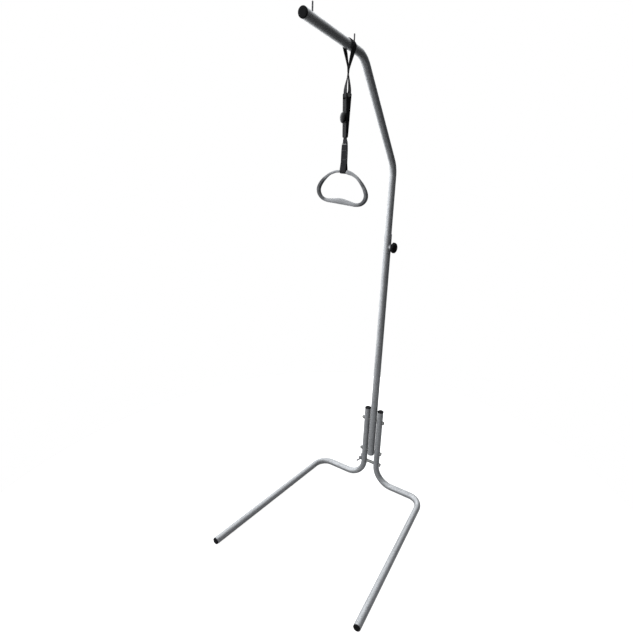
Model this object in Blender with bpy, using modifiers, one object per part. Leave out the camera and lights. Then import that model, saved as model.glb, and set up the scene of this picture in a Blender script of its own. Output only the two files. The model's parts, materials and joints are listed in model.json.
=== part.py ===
"""Free-standing bed trapeze: two bent legs, a telescopic mast with a boom, and a handle on a webbing strap.

Metres, +Z up. The origin is on the floor, in the middle of the footprint. The legs and the boom point to -Y.
"""

import math

import bmesh
import bpy
from mathutils import Matrix, Vector

# Clearances
GAP = 0.0003
BOLT_CLEARANCE = 0.0003
SLIDING_CLEARANCE = 0.0005

# Tubes
TUBE_SIDES = 20
LEG_RADIUS = 0.0135
LEG_WALL = 0.0015
LOWER_MAST_RADIUS = 0.0155
LOWER_MAST_WALL = 0.0015
UPPER_MAST_WALL = 0.0015
BEND_STEP = math.radians(11.25)

# Legs
UPRIGHT_OFFSET = 0.033
UPRIGHT_TOP = 0.386
LEG_SPREAD = 0.2739
LEG_LENGTH = 0.6207
LEG_TOE_OUT = math.radians(4.13)
FLOOR_BEND_RADIUS = 0.060
UPRIGHT_BEND_RADIUS = 0.086

# Mast and boom
LOWER_MAST_FOOT = 0.150
LOWER_MAST_TOP = 1.190
UPPER_MAST_INSERTION = 0.350
SLOPE_START_HEIGHT = 1.4463
SLOPE_ANGLE = math.radians(45.0)
SLOPE_REACH = 0.3008
BOOM_LENGTH = 0.3112
MAST_BEND_RADIUS = 0.080
BOOM_SWING = math.radians(4.4)

# End plugs
PLUG_DEPTH = 0.018
PLUG_FLANGE = 0.004
UPRIGHT_CAP_OVERLAP = 0.0005

# Pins on the boom
PIN_RADIUS = 0.0021
PIN_PROUD = 0.024
FRONT_PIN_FROM_END = 0.037
REAR_PIN_FROM_END = 0.250

# Fasteners of the foot
BOLT_RADIUS = 0.004
BOLT_HEAD_WIDTH = 0.013
BOLT_HEAD_HEIGHT = 0.0053
NUT_HEIGHT = 0.0065
WASHER_RADIUS = 0.008
WASHER_THICKNESS = 0.0016
BOLT_PAST_NUT = 0.003
UPPER_BOLT_BELOW_TOP = 0.053
MIDDLE_BOLT_ABOVE_FOOT = 0.018
TIE_BOLT_ABOVE_BEND = 0.00867
SADDLE_SPACER_RADIUS = 0.0065
TIE_SPACER_RADIUS = 0.007
WING_HUB_RADIUS = 0.0075
WING_HUB_LENGTH = 0.009
WING_SPAN = 0.050
WING_HEIGHT = 0.015
WING_THICKNESS = 0.003
WING_TILT = math.radians(12.0)
TIE_BOLT_PAST_NUT = 0.006

# Clamp of the telescope
CLAMP_BELOW_TOP = 0.053
CLAMP_BOSS_RADIUS = 0.011
CLAMP_BOSS_LENGTH = 0.0035
CLAMP_PAD_RADIUS = 0.0036
CLAMP_PAD_LENGTH = 0.003
KNOB_RADIUS = 0.0215
KNOB_LENGTH = 0.0225
KNOB_HUB_RADIUS = 0.013
KNOB_FLUTES = 8
KNOB_FLUTE_RADIUS = 0.007
KNOB_FLUTE_DEPTH = 0.0022
STUD_IN_KNOB = 0.012

# Strap
WEBBING_WIDTH = 0.022
WEBBING_THICKNESS = 0.0022
STRAP_FROM_CORNER = 0.0872
PINCH_BELOW_BOOM = 0.064
PINCH_HALF_LENGTH = 0.006
EYE_TAPER = 0.048
ADJUSTER_BAR_BELOW_PINCH = 0.0658
ADJUSTER_TURN = math.radians(52.0)
LOOP_SLACK = 0.0015
LEAVE_ANGLE = math.radians(14.0)
LEG_STEPS = 9

# Adjuster
ADJUSTER_BAR_RADIUS = 0.0050
ADJUSTER_LENGTH = 0.1221
ADJUSTER_TOP_THICKNESS = 0.0172
ADJUSTER_FOOT_THICKNESS = 0.0070
ADJUSTER_CHEEK = 0.0022
ADJUSTER_CORNER = 0.006
ADJUSTER_EDGE = 0.0012
ADJUSTER_ABOVE_BAR = 0.0075
FORK_DEPTH = 0.0180
SLOT_WEB = 0.006
BUTTON_RADIUS = 0.0155
BUTTON_RIM = 0.0016
BUTTON_DOME = 0.0066
BUTTON_NECK_RADIUS = 0.009
BUTTON_WEB = 0.0010
BUTTON_TRAVEL = 0.0027
BUTTON_ABOVE_FOOT = 0.0544

# Lower strap
TAIL_IN_ADJUSTER = 0.080
STITCH_BELOW_ADJUSTER = 0.0136
EYE_TOP_ABOVE_BAR = 0.030

# Handle
HANDLE_BAR_BELOW_ADJUSTER = 0.0956
HANDLE_BAR_RADIUS = 0.0038
HANDLE_STOP_RADIUS = 0.0064
STOP_RAMP = 0.0045
HANDLE_HALF_WIDTH = 0.0872
HANDLE_HEIGHT = 0.0920
HANDLE_GRIP_RADIUS = 0.0092
HANDLE_SIDE_RADIUS = 0.0068
HANDLE_TILT = math.radians(3.0)

# Places that follow from the sizes above
FACET = math.cos(math.pi / TUBE_SIDES)
LEG_AXIS_HEIGHT = LEG_RADIUS * FACET
UPPER_MAST_RADIUS = LOWER_MAST_RADIUS - LOWER_MAST_WALL - SLIDING_CLEARANCE
MAST_Y = (LEG_LENGTH + (PLUG_FLANGE + GAP) * math.cos(LEG_TOE_OUT) - LEG_RADIUS) / 2
UPPER_MAST_FOOT = LOWER_MAST_TOP - UPPER_MAST_INSERTION
UPPER_BOLT_HEIGHT = UPRIGHT_TOP - UPPER_BOLT_BELOW_TOP
MIDDLE_BOLT_HEIGHT = LOWER_MAST_FOOT + MIDDLE_BOLT_ABOVE_FOOT
TIE_BOLT_HEIGHT = LEG_AXIS_HEIGHT + UPRIGHT_BEND_RADIUS + TIE_BOLT_ABOVE_BEND
CLAMP_HEIGHT = LOWER_MAST_TOP - CLAMP_BELOW_TOP
BOOM_HEIGHT = SLOPE_START_HEIGHT + SLOPE_REACH * math.tan(SLOPE_ANGLE)
BOOM_REACH = SLOPE_REACH + BOOM_LENGTH
STRAP_REACH = SLOPE_REACH + STRAP_FROM_CORNER
PINCH_HEIGHT = BOOM_HEIGHT - PINCH_BELOW_BOOM
ADJUSTER_BAR_HEIGHT = PINCH_HEIGHT - ADJUSTER_BAR_BELOW_PINCH
ADJUSTER_TOP = ADJUSTER_BAR_HEIGHT + ADJUSTER_ABOVE_BAR
ADJUSTER_FOOT = ADJUSTER_TOP - ADJUSTER_LENGTH
ADJUSTER_WIDTH = WEBBING_WIDTH + 2 * (ADJUSTER_CHEEK + 2 * GAP)
HANDLE_BAR_HEIGHT = ADJUSTER_FOOT - HANDLE_BAR_BELOW_ADJUSTER
HANDLE_TURN = math.radians(90.0) - BOOM_SWING
UPRIGHT_FACE = UPRIGHT_OFFSET + LEG_RADIUS


def clear_scene():
    for old in list(bpy.data.objects):
        bpy.data.objects.remove(old, do_unlink=True)


def collection(name):
    made = bpy.data.collections.new(name)
    bpy.context.scene.collection.children.link(made)
    return made


def material(name, colour, roughness, metallic):
    made = bpy.data.materials.new(name)
    made.use_nodes = True
    shader = made.node_tree.nodes["Principled BSDF"]
    shader.inputs["Base Color"].default_value = (*colour, 1.0)
    shader.inputs["Roughness"].default_value = roughness
    shader.inputs["Metallic"].default_value = metallic
    made.diffuse_color = (*colour, 1.0)
    return made


clear_scene()
PARTS = collection("bed_trapeze")
CUTTERS = collection("cutters")
HAMMERTONE = material("hammertone_paint", (0.42, 0.44, 0.46), 0.38, 0.55)
BLACK_PLASTIC = material("black_plastic", (0.02, 0.02, 0.022), 0.45, 0.0)
ZINC = material("zinc_steel", (0.55, 0.55, 0.54), 0.35, 0.9)
DARK_STEEL = material("dark_steel", (0.08, 0.08, 0.085), 0.4, 0.7)
NYLON = material("white_nylon", (0.75, 0.74, 0.70), 0.5, 0.0)
WEBBING = material("black_webbing", (0.025, 0.025, 0.028), 0.85, 0.0)
GREY_PLASTIC = material("grey_plastic", (0.30, 0.30, 0.31), 0.5, 0.0)


def frame(name, location=(0, 0, 0), turn=0.0, parent=None):
    """An empty that carries pieces: turned about Z, and placed in its parent's frame."""
    made = bpy.data.objects.new(name, None)
    made.location = location
    made.rotation_euler = (0, 0, turn)
    made.parent = parent
    made.empty_display_size = 0.05
    PARTS.objects.link(made)
    return made


def add(name, mesh, finish, parent):
    made = bpy.data.objects.new(name, mesh)
    mesh.materials.append(finish)
    made.parent = parent
    PARTS.objects.link(made)
    return made


def cutter(name, mesh, parent):
    made = bpy.data.objects.new(name, mesh)
    made.parent = parent
    made.hide_render = True
    made.display_type = "WIRE"
    CUTTERS.objects.link(made)
    return made


def boolean(target, tool, operation="DIFFERENCE"):
    made = target.modifiers.new(tool.name, "BOOLEAN")
    made.operation = operation
    made.object = tool
    return made


def along(axis):
    """The rotation that takes +Z to the named axis."""
    turns = {
        "+Z": Matrix(),
        "-Z": Matrix.Rotation(math.pi, 4, "X"),
        "+X": Matrix.Rotation(math.pi / 2, 4, "Y"),
        "-X": Matrix.Rotation(-math.pi / 2, 4, "Y"),
        "+Y": Matrix.Rotation(-math.pi / 2, 4, "X"),
        "-Y": Matrix.Rotation(math.pi / 2, 4, "X"),
    }
    return turns[axis]


def smooth(mesh, angle=35.0):
    mesh.shade_smooth()
    mesh.set_sharp_from_angle(angle=math.radians(angle))


def cylinder_mesh(name, radius, start, end, place, axis="+Z", sides=20):
    """A closed cylinder from start to end along the axis, about the point place."""
    shape = bmesh.new()
    turn = Matrix.Translation(place) @ along(axis) @ Matrix.Translation((0, 0, (start + end) / 2))
    bmesh.ops.create_cone(
        shape,
        cap_ends=True,
        segments=sides,
        radius1=radius,
        radius2=radius,
        depth=end - start,
        matrix=turn,
    )
    mesh = bpy.data.meshes.new(name)
    shape.to_mesh(mesh)
    shape.free()
    return mesh


def box_mesh(name, low, high):
    shape = bmesh.new()
    size = Vector(high) - Vector(low)
    middle = (Vector(high) + Vector(low)) / 2
    bmesh.ops.create_cube(shape, size=1.0, matrix=Matrix.Translation(middle) @ Matrix.Diagonal((*size, 1.0)))
    mesh = bpy.data.meshes.new(name)
    shape.to_mesh(mesh)
    shape.free()
    return mesh


def drill(target, place, axis, radius, start, end, sides=16):
    """A round hole through the target, from start to end along the axis."""
    name = f"{target.name}_hole_{len(target.modifiers)}"
    mesh = cylinder_mesh(name, radius, start, end, place, axis, sides)
    return boolean(target, cutter(name, mesh, target.parent))


def turned_mesh(name, profile, ring=False):
    """The edges of a profile of (radius, height) points, which a Screw turns about Z."""
    shape = bmesh.new()
    corners = [shape.verts.new((radius, 0, height)) for radius, height in profile]
    for first, second in zip(corners, corners[1:] + corners[:1] if ring else corners[1:]):
        shape.edges.new((first, second))
    mesh = bpy.data.meshes.new(name)
    shape.to_mesh(mesh)
    shape.free()
    return mesh


def turned(name, profile, finish, parent, place=(0, 0, 0), axis="+Z", steps=24, ring=False):
    """A turned piece. Its profile runs down the outer side, and a ring's comes back up the bore."""
    made = add(name, turned_mesh(name, profile, ring), finish, parent)
    made.location = place
    made.rotation_euler = along(axis).to_euler()
    screw = made.modifiers.new("turn", "SCREW")
    screw.steps = steps
    screw.render_steps = steps
    screw.use_smooth_shade = True
    screw.use_merge_vertices = True
    screw.merge_threshold = 0.00001
    return made


def mesh_from_curve(name, data):
    """The mesh that a curve evaluates to, with its loose caps welded to its sides."""
    guide = bpy.data.objects.new(f"{name}_curve", data)
    PARTS.objects.link(guide)
    bpy.context.view_layer.update()
    evaluated = guide.evaluated_get(bpy.context.evaluated_depsgraph_get())
    mesh = bpy.data.meshes.new_from_object(evaluated)
    mesh.name = name
    bpy.data.objects.remove(guide, do_unlink=True)
    shape = bmesh.new()
    shape.from_mesh(mesh)
    bmesh.ops.remove_doubles(shape, verts=shape.verts, dist=0.000001)
    shape.to_mesh(mesh)
    shape.free()
    return mesh


def rounded_path(corners, radii):
    """The points of a bent tube's axis: straight runs between the corners, with an arc of each radius."""
    points = [Vector(corners[0])]
    for before, corner, after, radius in zip(corners, corners[1:], corners[2:], radii):
        corner = Vector(corner)
        inward = (Vector(before) - corner).normalized()
        onward = (Vector(after) - corner).normalized()
        turn = math.pi - inward.angle(onward)
        reach = radius * math.tan(turn / 2)
        centre = corner + (inward + onward).normalized() * radius / math.cos(turn / 2)
        start = corner + inward * reach - centre
        axis = start.cross(corner + onward * reach - centre).normalized()
        steps = max(2, round(turn / BEND_STEP))
        for step in range(steps + 1):
            points.append(centre + Matrix.Rotation(turn * step / steps, 3, axis) @ start)
    points.append(Vector(corners[-1]))
    return points


def tube(name, corners, radii, radius, wall, finish, parent):
    """A bent tube with an open bore, its flat sides facing the frame's axes."""
    data = bpy.data.curves.new(name, "CURVE")
    data.dimensions = "3D"
    data.twist_mode = "MINIMUM"
    data.bevel_depth = radius
    data.bevel_resolution = (TUBE_SIDES - 4) // 2
    path = rounded_path(corners, radii)
    spline = data.splines.new("POLY")
    spline.points.add(len(path) - 1)
    for point, place in zip(spline.points, path):
        point.co = (*place, 1.0)
        point.tilt = math.pi / TUBE_SIDES
    mesh = mesh_from_curve(name, data)
    smooth(mesh)
    made = add(name, mesh, finish, parent)
    shell = made.modifiers.new("wall", "SOLIDIFY")
    shell.thickness = wall
    shell.offset = -1.0
    shell.use_even_offset = True
    return made


def plate_mesh(name, outlines, thickness):
    """A flat plate in X and Z, thickness across Y. The first outline is its edge and the others are holes."""
    data = bpy.data.curves.new(name, "CURVE")
    data.dimensions = "2D"
    data.fill_mode = "BOTH"
    data.extrude = thickness / 2
    for outline in outlines:
        spline = data.splines.new("POLY")
        spline.points.add(len(outline) - 1)
        spline.use_cyclic_u = True
        for point, (across, up) in zip(spline.points, outline):
            point.co = (across, up, 0, 1)
    mesh = mesh_from_curve(name, data)
    mesh.transform(Matrix.Rotation(math.pi / 2, 4, "X"))
    return mesh


def end_plug(name, bore, flange_radius, parent, place, axis, finish=BLACK_PLASTIC):
    """A plug with a domed flange. Its axis points out of the tube, from the tube's end."""
    stem = bore * FACET - GAP
    profile = [
        (0, GAP + PLUG_FLANGE),
        (flange_radius * 0.55, GAP + PLUG_FLANGE),
        (flange_radius * 0.86, GAP + PLUG_FLANGE * 0.85),
        (flange_radius, GAP + PLUG_FLANGE * 0.45),
        (flange_radius, GAP),
        (stem, GAP),
        (stem, -PLUG_DEPTH * 0.85),
        (stem * 0.9, -PLUG_DEPTH),
        (0, -PLUG_DEPTH),
    ]
    return turned(name, profile, finish, parent, place, axis)


def washer(name, parent, place, axis):
    """A washer, from its seat at place outwards along the axis."""
    hole = BOLT_RADIUS + BOLT_CLEARANCE
    profile = [
        (WASHER_RADIUS, WASHER_THICKNESS),
        (WASHER_RADIUS, 0),
        (hole, 0),
        (hole, WASHER_THICKNESS),
    ]
    return turned(name, profile, ZINC, parent, place, axis, steps=20, ring=True)


def hex_mesh(name, start, end, place, axis):
    return cylinder_mesh(name, BOLT_HEAD_WIDTH / math.sqrt(3), start, end, place, axis, sides=6)


def bolt(name, height, seat, length, parent):
    """A bolt along X. Its head sits outside the right upright, and its shank runs to the left."""
    shank = cylinder_mesh(name, BOLT_RADIUS, seat - length, seat + BOLT_HEAD_HEIGHT / 2, (0, 0, height), "+X")
    made = add(name, shank, ZINC, parent)
    smooth(shank)
    head_name = f"{name}_head"
    head = hex_mesh(head_name, seat, seat + BOLT_HEAD_HEIGHT, (0, 0, height), "+X")
    boolean(made, cutter(head_name, head, parent), "UNION")
    return made


def nut(name, height, seat, parent):
    """A hexagon nut outside the left upright."""
    made = add(name, hex_mesh(name, seat, seat + NUT_HEIGHT, (0, 0, height), "-X"), ZINC, parent)
    drill(made, (0, 0, height), "-X", BOLT_RADIUS + BOLT_CLEARANCE, seat - GAP, seat + NUT_HEIGHT + GAP)
    return made


# The frames that the pieces are placed in
MAST_FRAME = frame("mast_axis", (0, MAST_Y, 0))
BOOM_FRAME = frame("boom_swivel_axis", turn=BOOM_SWING, parent=MAST_FRAME)
STRAP_FRAME = frame("strap_axis", (0, -STRAP_REACH, 0), parent=BOOM_FRAME)
ADJUSTER_FRAME = frame("adjuster_axis", turn=ADJUSTER_TURN, parent=STRAP_FRAME)
HANDLE_FRAME = frame("handle_axis", turn=HANDLE_TURN, parent=STRAP_FRAME)


# Legs
def leg(side, sign):
    splay = LEG_LENGTH * math.tan(LEG_TOE_OUT)
    corners = [
        (sign * UPRIGHT_OFFSET, 0, UPRIGHT_TOP),
        (sign * UPRIGHT_OFFSET, 0, LEG_AXIS_HEIGHT),
        (sign * LEG_SPREAD, 0, LEG_AXIS_HEIGHT),
        (sign * (LEG_SPREAD + splay), -LEG_LENGTH, LEG_AXIS_HEIGHT),
    ]
    made = tube(
        f"leg_{side}",
        corners,
        (UPRIGHT_BEND_RADIUS, FLOOR_BEND_RADIUS),
        LEG_RADIUS,
        LEG_WALL,
        HAMMERTONE,
        MAST_FRAME,
    )
    hole = BOLT_RADIUS + BOLT_CLEARANCE
    near = UPRIGHT_OFFSET - LEG_RADIUS - LEG_WALL
    far = UPRIGHT_FACE + LEG_WALL
    for height in (UPPER_BOLT_HEIGHT, MIDDLE_BOLT_HEIGHT, TIE_BOLT_HEIGHT):
        drill(made, (0, 0, height), "+X" if sign > 0 else "-X", hole, near, far)
    bore = LEG_RADIUS - LEG_WALL
    cap = end_plug(f"leg_cap_{side}", bore, LEG_AXIS_HEIGHT - GAP, MAST_FRAME, corners[-1], "-Y")
    cap.rotation_euler.rotate_axis("Y", sign * LEG_TOE_OUT)
    end_plug(
        f"upright_cap_{side}",
        bore,
        LEG_RADIUS + UPRIGHT_CAP_OVERLAP,
        MAST_FRAME,
        corners[0],
        "+Z",
    )


# Mast
def lower_mast():
    made = tube(
        "mast_lower",
        [(0, 0, LOWER_MAST_TOP), (0, 0, LOWER_MAST_FOOT)],
        (),
        LOWER_MAST_RADIUS,
        LOWER_MAST_WALL,
        HAMMERTONE,
        MAST_FRAME,
    )
    hole = BOLT_RADIUS + BOLT_CLEARANCE
    reach = LOWER_MAST_RADIUS + LOWER_MAST_WALL
    for height in (UPPER_BOLT_HEIGHT, MIDDLE_BOLT_HEIGHT):
        drill(made, (0, 0, height), "+X", hole, -reach, reach)
    drill(made, (0, 0, CLAMP_HEIGHT), "+X", hole, 0, reach)


def upper_mast():
    corners = [
        (0, 0, UPPER_MAST_FOOT),
        (0, 0, SLOPE_START_HEIGHT),
        (0, -SLOPE_REACH, BOOM_HEIGHT),
        (0, -BOOM_REACH, BOOM_HEIGHT),
    ]
    made = tube(
        "mast_upper",
        corners,
        (MAST_BEND_RADIUS, MAST_BEND_RADIUS),
        UPPER_MAST_RADIUS,
        UPPER_MAST_WALL,
        HAMMERTONE,
        BOOM_FRAME,
    )
    bore = UPPER_MAST_RADIUS - UPPER_MAST_WALL
    end_plug("boom_end_cap", bore, UPPER_MAST_RADIUS, BOOM_FRAME, corners[-1], "-Y")
    end_plug("inner_bush", bore, UPPER_MAST_RADIUS, MAST_FRAME, corners[0], "-Z", NYLON)
    for side, from_end in (("front", FRONT_PIN_FROM_END), ("rear", REAR_PIN_FROM_END)):
        place = (0, from_end - BOOM_REACH, BOOM_HEIGHT)
        drill(made, place, "+Z", PIN_RADIUS + GAP, 0, UPPER_MAST_RADIUS + UPPER_MAST_WALL, sides=12)
        top = UPPER_MAST_RADIUS + PIN_PROUD
        foot = GAP - bore * FACET
        profile = [
            (0, top),
            (PIN_RADIUS * 0.7, top - PIN_RADIUS * 0.3),
            (PIN_RADIUS, top - PIN_RADIUS),
            (PIN_RADIUS, foot),
            (0, foot),
        ]
        turned(f"boom_pin_{side}", profile, DARK_STEEL, BOOM_FRAME, place, steps=12)


# Foot fasteners
def saddle_spacer(name, height, sign):
    """A short spacer between the mast and an upright, hollowed to sit on both."""
    side = "+X" if sign > 0 else "-X"
    place = (0, 0, height)
    mesh = cylinder_mesh(name, SADDLE_SPACER_RADIUS, LOWER_MAST_RADIUS / 2, UPRIGHT_OFFSET, place, side)
    smooth(mesh)
    made = add(name, mesh, ZINC, MAST_FRAME)
    half = 2 * SADDLE_SPACER_RADIUS
    for tube_name, across, radius in (
        ("mast", 0, LOWER_MAST_RADIUS),
        ("upright", sign * UPRIGHT_OFFSET, LEG_RADIUS),
    ):
        hollow_name = f"{name}_{tube_name}_hollow"
        hollow = cylinder_mesh(hollow_name, radius + GAP, -half, half, (across, 0, height), sides=40)
        boolean(made, cutter(hollow_name, hollow, MAST_FRAME))
    drill(made, (0, 0, height), side, BOLT_RADIUS + BOLT_CLEARANCE, 0, UPRIGHT_OFFSET)


def cross_bolt(name, height):
    """A bolt through both uprights and the mast, with its washers, nut and saddle spacers."""
    seat = UPRIGHT_FACE + GAP
    under_head = seat + WASHER_THICKNESS + GAP
    washer(f"{name}_head_washer", MAST_FRAME, (seat, 0, height), "+X")
    washer(f"{name}_nut_washer", MAST_FRAME, (-seat, 0, height), "-X")
    bolt(f"{name}_bolt", height, under_head, 2 * under_head + NUT_HEIGHT + BOLT_PAST_NUT, MAST_FRAME)
    nut(f"{name}_nut", height, under_head, MAST_FRAME)
    saddle_spacer(f"{name}_spacer_left", height, -1)
    saddle_spacer(f"{name}_spacer_right", height, 1)


def tie_bolt():
    """The bolt below the mast's end, tightened by a wing nut on the left."""
    seat = UPRIGHT_FACE + GAP
    under_head = seat + WASHER_THICKNESS + GAP
    height = TIE_BOLT_HEIGHT
    washer("tie_head_washer", MAST_FRAME, (seat, 0, height), "+X")
    washer("wing_washer", MAST_FRAME, (-seat, 0, height), "-X")
    bolt("tie_bolt", height, under_head, 2 * under_head + WING_HUB_LENGTH + TIE_BOLT_PAST_NUT, MAST_FRAME)
    half = UPRIGHT_OFFSET - LEG_RADIUS - GAP
    hole = BOLT_RADIUS + BOLT_CLEARANCE
    profile = [(TIE_SPACER_RADIUS, half), (TIE_SPACER_RADIUS, -half), (hole, -half), (hole, half)]
    turned("tie_spacer", profile, ZINC, MAST_FRAME, (0, 0, height), "+X", ring=True)
    wing_nut(under_head, height)


def wing_nut(seat, height):
    hub_top = WING_HUB_LENGTH
    mesh = cylinder_mesh("wing_nut", WING_HUB_RADIUS, 0, hub_top, (0, 0, 0), sides=20)
    made = add("wing_nut", mesh, DARK_STEEL, MAST_FRAME)
    smooth(mesh)
    made.location = (-seat, 0, height)
    made.rotation_euler = (along("-X") @ Matrix.Rotation(math.pi / 2 - WING_TILT, 4, "Z")).to_euler()
    for side, sign in (("front", 1), ("back", -1)):
        outline = [
            (sign * WING_HUB_RADIUS * 0.8, hub_top * 0.15),
            (sign * WING_HUB_RADIUS * 1.3, hub_top * 0.20),
            (sign * WING_SPAN * 0.42, hub_top * 0.75),
            (sign * WING_SPAN * 0.50, hub_top * 1.15),
            (sign * WING_SPAN * 0.50, WING_HEIGHT * 0.88),
            (sign * WING_SPAN * 0.46, WING_HEIGHT),
            (sign * WING_SPAN * 0.38, WING_HEIGHT * 0.98),
            (sign * WING_SPAN * 0.26, hub_top * 1.10),
            (sign * WING_HUB_RADIUS * 0.8, hub_top * 0.85),
        ]
        wing_name = f"wing_nut_{side}_wing"
        wing = cutter(wing_name, plate_mesh(wing_name, [outline], WING_THICKNESS), made)
        boolean(made, wing, "UNION")
    hole_name = "wing_nut_bore"
    bore = cylinder_mesh(hole_name, BOLT_RADIUS + BOLT_CLEARANCE, -GAP, WING_HEIGHT, (0, 0, 0), sides=16)
    boolean(made, cutter(hole_name, bore, made))


# Clamp
def clamp():
    """The knob, its stud and the pad that press on the upper tube through the lower one's wall."""
    hole = BOLT_RADIUS + BOLT_CLEARANCE
    boss_end = LOWER_MAST_RADIUS + CLAMP_BOSS_LENGTH
    height = CLAMP_HEIGHT
    place = (0, 0, height)
    boss_start = LOWER_MAST_RADIUS / 2
    boss_mesh = cylinder_mesh("clamp_boss", CLAMP_BOSS_RADIUS, boss_start, boss_end, place, "+X", 28)
    smooth(boss_mesh)
    boss = add("clamp_boss", boss_mesh, HAMMERTONE, MAST_FRAME)
    reach = 2 * CLAMP_BOSS_RADIUS
    hollow = cylinder_mesh("clamp_boss_hollow", LOWER_MAST_RADIUS + GAP, -reach, reach, place, sides=40)
    boolean(boss, cutter("clamp_boss_hollow", hollow, MAST_FRAME))
    drill(boss, place, "+X", hole, 0, boss_end + GAP)

    pad_start = UPPER_MAST_RADIUS + GAP
    pad_end = pad_start + CLAMP_PAD_LENGTH
    pad = [(0, pad_end), (CLAMP_PAD_RADIUS, pad_end), (CLAMP_PAD_RADIUS, pad_start), (0, pad_start)]
    turned("clamp_pad", pad, NYLON, MAST_FRAME, place, "+X", steps=16)

    knob_start = boss_end + GAP
    stud_end = knob_start + STUD_IN_KNOB
    stud = [
        (0, stud_end),
        (BOLT_RADIUS, stud_end),
        (BOLT_RADIUS, pad_end + GAP + BOLT_RADIUS * 0.25),
        (BOLT_RADIUS * 0.8, pad_end + GAP),
        (0, pad_end + GAP),
    ]
    turned("clamp_stud", stud, ZINC, MAST_FRAME, place, "+X", steps=20)

    blind = stud_end + GAP
    tip = knob_start + KNOB_LENGTH
    shoulder = knob_start + KNOB_LENGTH * 0.28
    crown = knob_start + KNOB_LENGTH * 0.62
    profile = [(0, tip)]
    for step in range(1, 5):
        lean = math.radians(22.5 * step)
        rise = (tip - crown) * math.cos(lean)
        profile.append((KNOB_RADIUS * math.sin(lean), crown + rise))
    profile += [
        (KNOB_RADIUS, shoulder),
        (KNOB_RADIUS * 0.93, shoulder - KNOB_LENGTH * 0.06),
        (KNOB_HUB_RADIUS, knob_start + KNOB_LENGTH * 0.17),
        (KNOB_HUB_RADIUS, knob_start),
        (hole, knob_start),
        (hole, blind),
        (0, blind),
    ]
    knob = turned("clamp_knob", profile, BLACK_PLASTIC, MAST_FRAME, place, "+X", steps=32)
    ring = KNOB_RADIUS + KNOB_FLUTE_RADIUS - KNOB_FLUTE_DEPTH
    for index in range(KNOB_FLUTES):
        angle = 2 * math.pi * (index + 0.5) / KNOB_FLUTES
        spot = (ring * math.cos(angle), ring * math.sin(angle), 0)
        name = f"clamp_knob_flute_{index}"
        flute = cylinder_mesh(name, KNOB_FLUTE_RADIUS, knob_start, tip + GAP, spot, sides=16)
        boolean(knob, cutter(name, flute, knob))


# Strap
def twisted(mesh, turn_at):
    """Turns each point of the mesh about Z, by the angle that belongs to its height."""
    for vertex in mesh.vertices:
        vertex.co = Matrix.Rotation(turn_at(vertex.co.z), 3, "Z") @ vertex.co
    return mesh


def eased(value):
    """0 to 1 with a soft start and end."""
    value = min(max(value, 0.0), 1.0)
    return value * value * (3 - 2 * value)


def loop_half_gap(height):
    """Half the distance between the upper webbing's two legs, at a height below the boom."""
    boom_side = UPPER_MAST_RADIUS + GAP + LOOP_SLACK
    bar_side = ADJUSTER_BAR_RADIUS + GAP
    if height >= PINCH_HEIGHT + PINCH_HALF_LENGTH:
        top = BOOM_HEIGHT - LOOP_SLACK - boom_side * math.sin(LEAVE_ANGLE)
        share = (height - PINCH_HEIGHT - PINCH_HALF_LENGTH) / (top - PINCH_HEIGHT - PINCH_HALF_LENGTH)
        return boom_side * math.cos(LEAVE_ANGLE) * share * (0.7 + 0.3 * share)
    share = (PINCH_HEIGHT - PINCH_HALF_LENGTH - height) / EYE_TAPER
    return bar_side * eased(share)


def side_heights(top, bottom, steps):
    return [top + (bottom - top) * step / steps for step in range(steps + 1)]


def arc(centre_height, radius, start, end, steps):
    """Points (across, up) of an arc about a point on the strap's axis. 0 degrees points to +X."""
    points = []
    for step in range(steps + 1):
        angle = start + (end - start) * step / steps
        points.append((radius * math.cos(angle), centre_height + radius * math.sin(angle)))
    return points


def mirrored(points):
    """The points, followed by their mirror image back to the first."""
    other = [(-across, up) for across, up in reversed(points)]
    if abs(points[-1][0]) < 1e-9:
        other = other[1:]
    if abs(points[0][0]) < 1e-9:
        other = other[:-1]
    return points + other


def strap_loop():
    """One ring of webbing: over the boom, sewn together at the pinch, and round the adjuster's bar."""
    thick = WEBBING_THICKNESS
    boom_side = UPPER_MAST_RADIUS + GAP + LOOP_SLACK
    bar_side = ADJUSTER_BAR_RADIUS + GAP
    centre = BOOM_HEIGHT - LOOP_SLACK
    leave = -LEAVE_ANGLE
    upper_hole_low = PINCH_HEIGHT + PINCH_HALF_LENGTH
    lower_hole_top = PINCH_HEIGHT - PINCH_HALF_LENGTH
    leg_top = centre + boom_side * math.sin(leave)
    upper_legs = side_heights(leg_top, upper_hole_low, LEG_STEPS)[1:]
    lower_legs = side_heights(lower_hole_top, ADJUSTER_BAR_HEIGHT, LEG_STEPS)[:-1]
    outer = arc(centre, boom_side + thick, math.pi / 2, leave, 10)
    outer += [(loop_half_gap(height) + thick, height) for height in upper_legs + lower_legs]
    outer += arc(ADJUSTER_BAR_HEIGHT, bar_side + thick, 0, -math.pi / 2, 5)
    upper_hole = arc(centre, boom_side, math.pi / 2, leave, 10)
    upper_hole += [(loop_half_gap(height), height) for height in upper_legs]
    lower_hole = [(loop_half_gap(height), height) for height in lower_legs]
    lower_hole += arc(ADJUSTER_BAR_HEIGHT, bar_side, 0, -math.pi / 2, 5)
    outlines = [mirrored(outer), mirrored(upper_hole), mirrored(lower_hole)]
    mesh = plate_mesh("strap_loop", outlines, WEBBING_WIDTH)
    twist_top = BOOM_HEIGHT - UPPER_MAST_RADIUS - WEBBING_THICKNESS
    twist_low = PINCH_HEIGHT - PINCH_HALF_LENGTH - EYE_TAPER

    def turn_at(height):
        share = (twist_top - height) / (twist_top - twist_low)
        return ADJUSTER_TURN * min(max(share, 0.0), 1.0)

    add("strap_loop", twisted(mesh, turn_at), WEBBING, STRAP_FRAME)


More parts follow.
